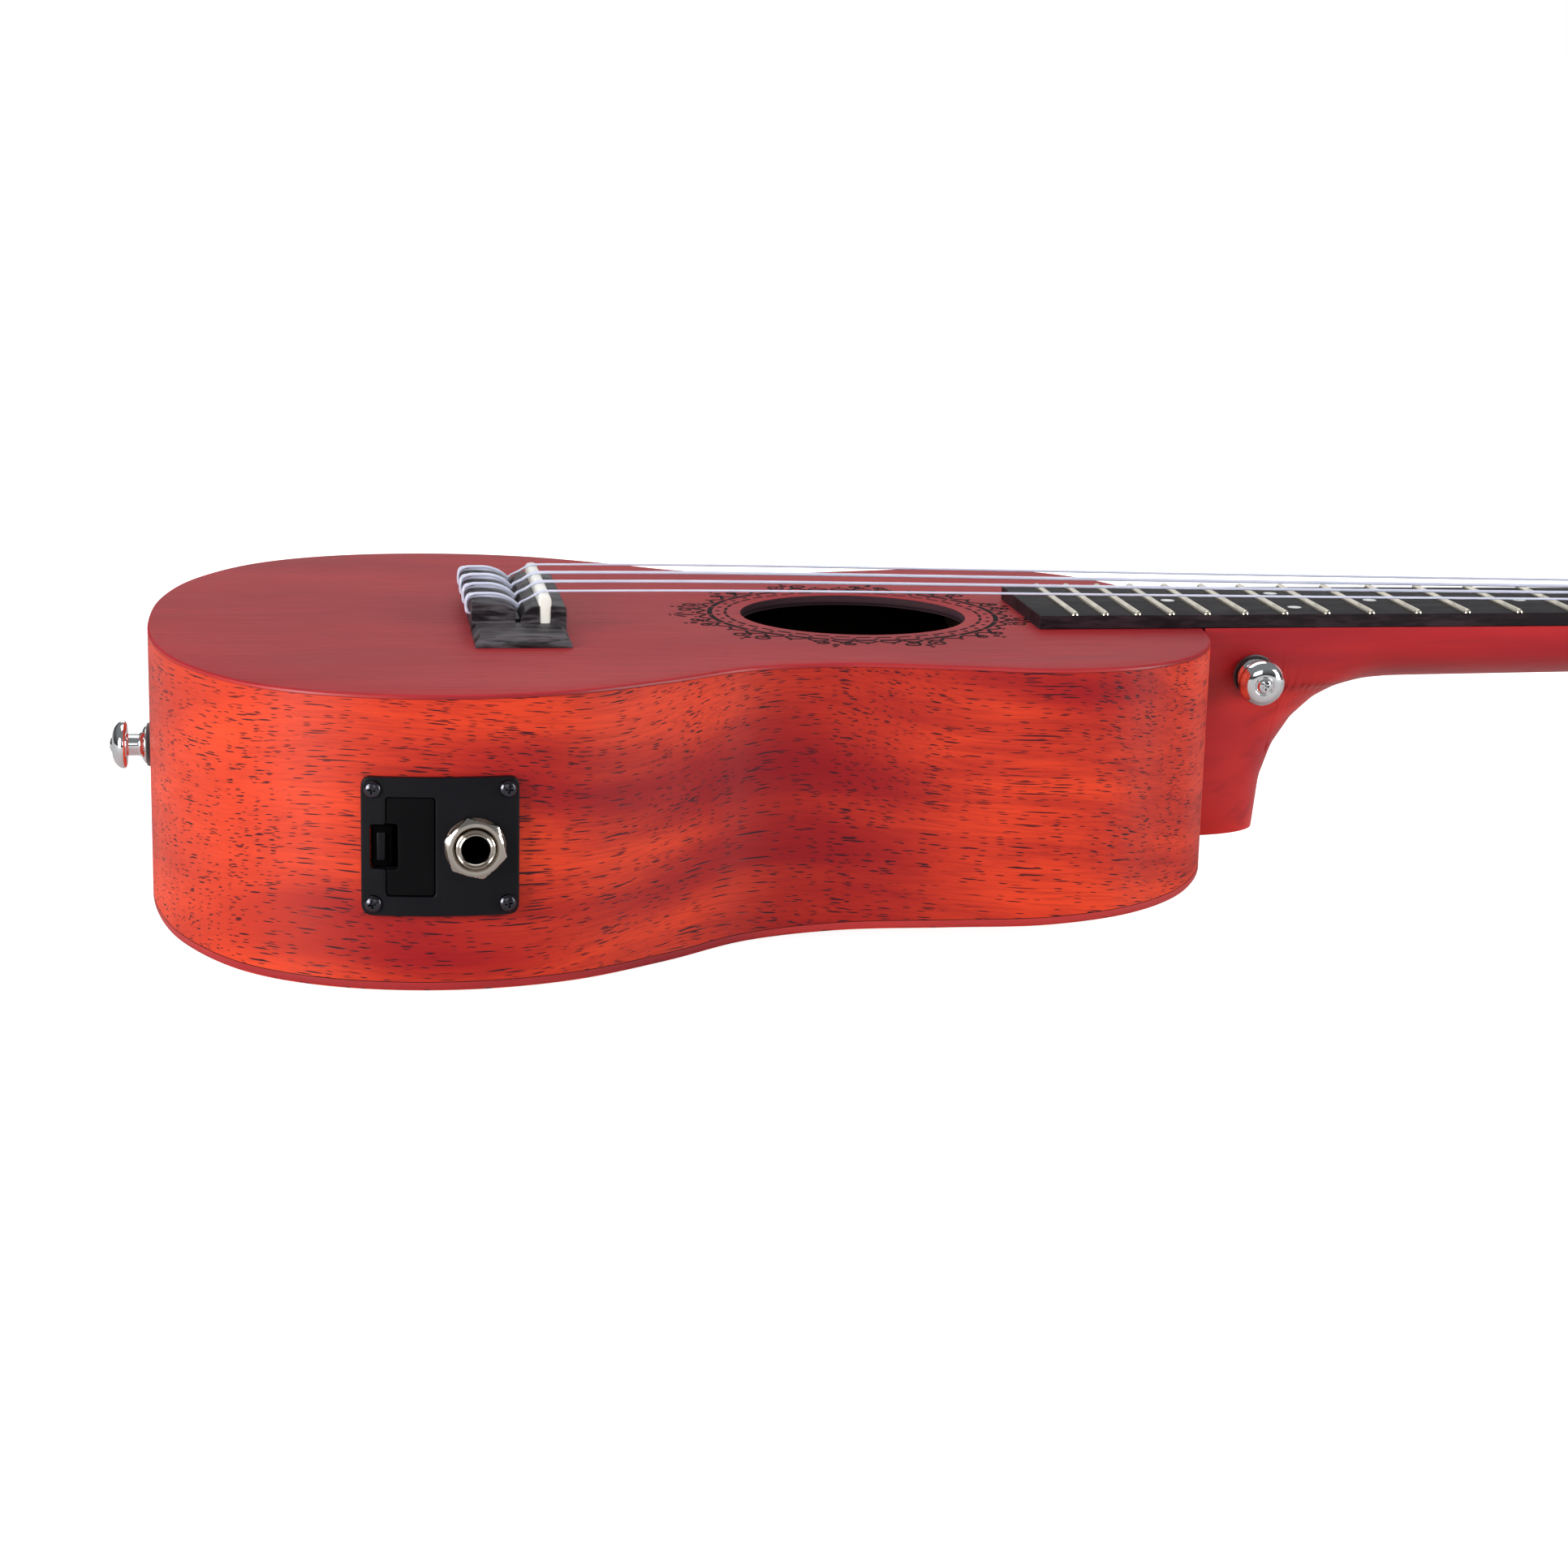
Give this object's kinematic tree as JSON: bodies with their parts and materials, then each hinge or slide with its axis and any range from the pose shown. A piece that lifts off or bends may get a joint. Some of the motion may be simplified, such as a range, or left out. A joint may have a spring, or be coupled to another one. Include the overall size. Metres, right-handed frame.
{
  "type": "electro-acoustic concert ukulele",
  "caption": "Concert ukulele with a hollow waisted body, fretted neck, geared tuners, strap buttons and a side-mounted pickup preamp with jack and battery tray.",
  "frame": {"origin": "on the surface the instrument lies on, under the middle of its length and on the line of the strings", "axes": "+X along the neck towards the head, +Y towards the bass side, +Z out of the soundboard; the instrument lies on its back"},
  "size_m": [0.618, 0.2059, 0.0789],
  "materials": {
    "stained_top": "matt red stain over straight, faint grain",
    "stained_side": "satin red stain with dark open pores and broad light and dark bands",
    "stained_neck": "satin red stain, no pores",
    "bare_wood": "bare, sanded",
    "dark_wood": "oiled, dark, fine streaks",
    "bone": "polished bone white",
    "fret_wire": "polished nickel silver",
    "piezo_metal": "satin",
    "nylon": "clear, slightly blue",
    "chrome": "mirror chrome",
    "nickel": "polished nickel",
    "black_plastic": "satin black",
    "black_felt": "felt",
    "black_steel": "blackened screws",
    "black_inlay": "dark decoration round the sound hole",
    "pearl_dot": "pearly position dots"
  },
  "bodies": {
    "instrument": {"soundboard": "stained_top", "side_treble": "stained_side", "side_bass": "stained_side", "back": "stained_side", "neck": "stained_neck", "tail_block": "bare_wood", "neck_block": "bare_wood", "lining_top": "bare_wood", "lining_back": "bare_wood", "brace_upper": "bare_wood", "brace_lower": "bare_wood", "bridge_plate": "bare_wood", "bridge": "dark_wood", "fretboard": "dark_wood", "saddle": "bone", "nut": "bone", "fret_01": "fret_wire", "fret_02": "fret_wire", "fret_03": "fret_wire", "fret_04": "fret_wire", "fret_05": "fret_wire", "fret_06": "fret_wire", "fret_07": "fret_wire", "fret_08": "fret_wire", "fret_09": "fret_wire", "fret_10": "fret_wire", "fret_11": "fret_wire", "fret_12": "fret_wire", "fret_13": "fret_wire", "fret_14": "fret_wire", "fret_15": "fret_wire", "fret_16": "fret_wire", "fret_17": "fret_wire", "fret_18": "fret_wire", "piezo_strip": "piezo_metal", "string_g": "nylon", "string_c": "nylon", "string_e": "nylon", "string_a": "nylon", "tuner_plate_g": "chrome", "tuner_plate_c": "chrome", "tuner_plate_e": "chrome", "tuner_plate_a": "chrome", "strap_button_tail": "chrome", "strap_button_heel": "chrome", "preamp_plate": "black_plastic", "preamp_case": "black_plastic", "jack_socket": "nickel", "jack_nut": "nickel"},
    "button_g": {"tuner_button_g": "chrome"},
    "post_g": {"tuner_post_g": "chrome"},
    "button_c": {"tuner_button_c": "chrome"},
    "post_c": {"tuner_post_c": "chrome"},
    "button_e": {"tuner_button_e": "chrome"},
    "post_e": {"tuner_post_e": "chrome"},
    "button_a": {"tuner_button_a": "chrome"},
    "post_a": {"tuner_post_a": "chrome"},
    "tray": {"battery_tray": "black_plastic", "coin_cell": "piezo_metal"},
    "latch": {"battery_latch": "black_plastic"}
  },
  "joints": [
    {"name": "tuner_button_turn_g", "type": "hinge", "parent": "instrument", "child": "button_g", "pos_m": [0.214, 0.0175, 0.04499], "axis": [0, 1, 0], "continuous": true},
    {"name": "tuner_post_turn_g", "type": "hinge", "parent": "instrument", "child": "post_g", "pos_m": [0.22483, 0.0175, 0.05987], "axis": [0.2079, 0, 0.9781], "continuous": true},
    {"name": "tuner_button_turn_c", "type": "hinge", "parent": "instrument", "child": "button_c", "pos_m": [0.25704, 0.0175, 0.03585], "axis": [0, 1, 0], "continuous": true},
    {"name": "tuner_post_turn_c", "type": "hinge", "parent": "instrument", "child": "post_c", "pos_m": [0.26787, 0.0175, 0.05072], "axis": [0.2079, 0, 0.9781], "continuous": true},
    {"name": "tuner_button_turn_e", "type": "hinge", "parent": "instrument", "child": "button_e", "pos_m": [0.25704, -0.0175, 0.03585], "axis": [0, -1, 0], "continuous": true},
    {"name": "tuner_post_turn_e", "type": "hinge", "parent": "instrument", "child": "post_e", "pos_m": [0.26787, -0.0175, 0.05072], "axis": [0.2079, 0, 0.9781], "continuous": true},
    {"name": "tuner_button_turn_a", "type": "hinge", "parent": "instrument", "child": "button_a", "pos_m": [0.214, -0.0175, 0.04499], "axis": [0, -1, 0], "continuous": true},
    {"name": "tuner_post_turn_a", "type": "hinge", "parent": "instrument", "child": "post_a", "pos_m": [0.22483, -0.0175, 0.05987], "axis": [0.2079, 0, 0.9781], "continuous": true},
    {"name": "battery_tray_slide", "type": "slide", "parent": "instrument", "child": "tray", "axis": [0, -1, 0], "range_m": [0, 0.022]},
    {"name": "battery_latch_slide", "type": "slide", "parent": "tray", "child": "latch", "axis": [1, 0, 0], "range_m": [0, 0.0009], "stiffness_N_per_m": 400}
  ],
  "couplings": [
    {"joint": "tuner_post_turn_g", "follows": "tuner_button_turn_g", "ratio": 0.071429},
    {"joint": "tuner_post_turn_c", "follows": "tuner_button_turn_c", "ratio": 0.071429},
    {"joint": "tuner_post_turn_e", "follows": "tuner_button_turn_e", "ratio": -0.071429},
    {"joint": "tuner_post_turn_a", "follows": "tuner_button_turn_a", "ratio": -0.071429}
  ]
}
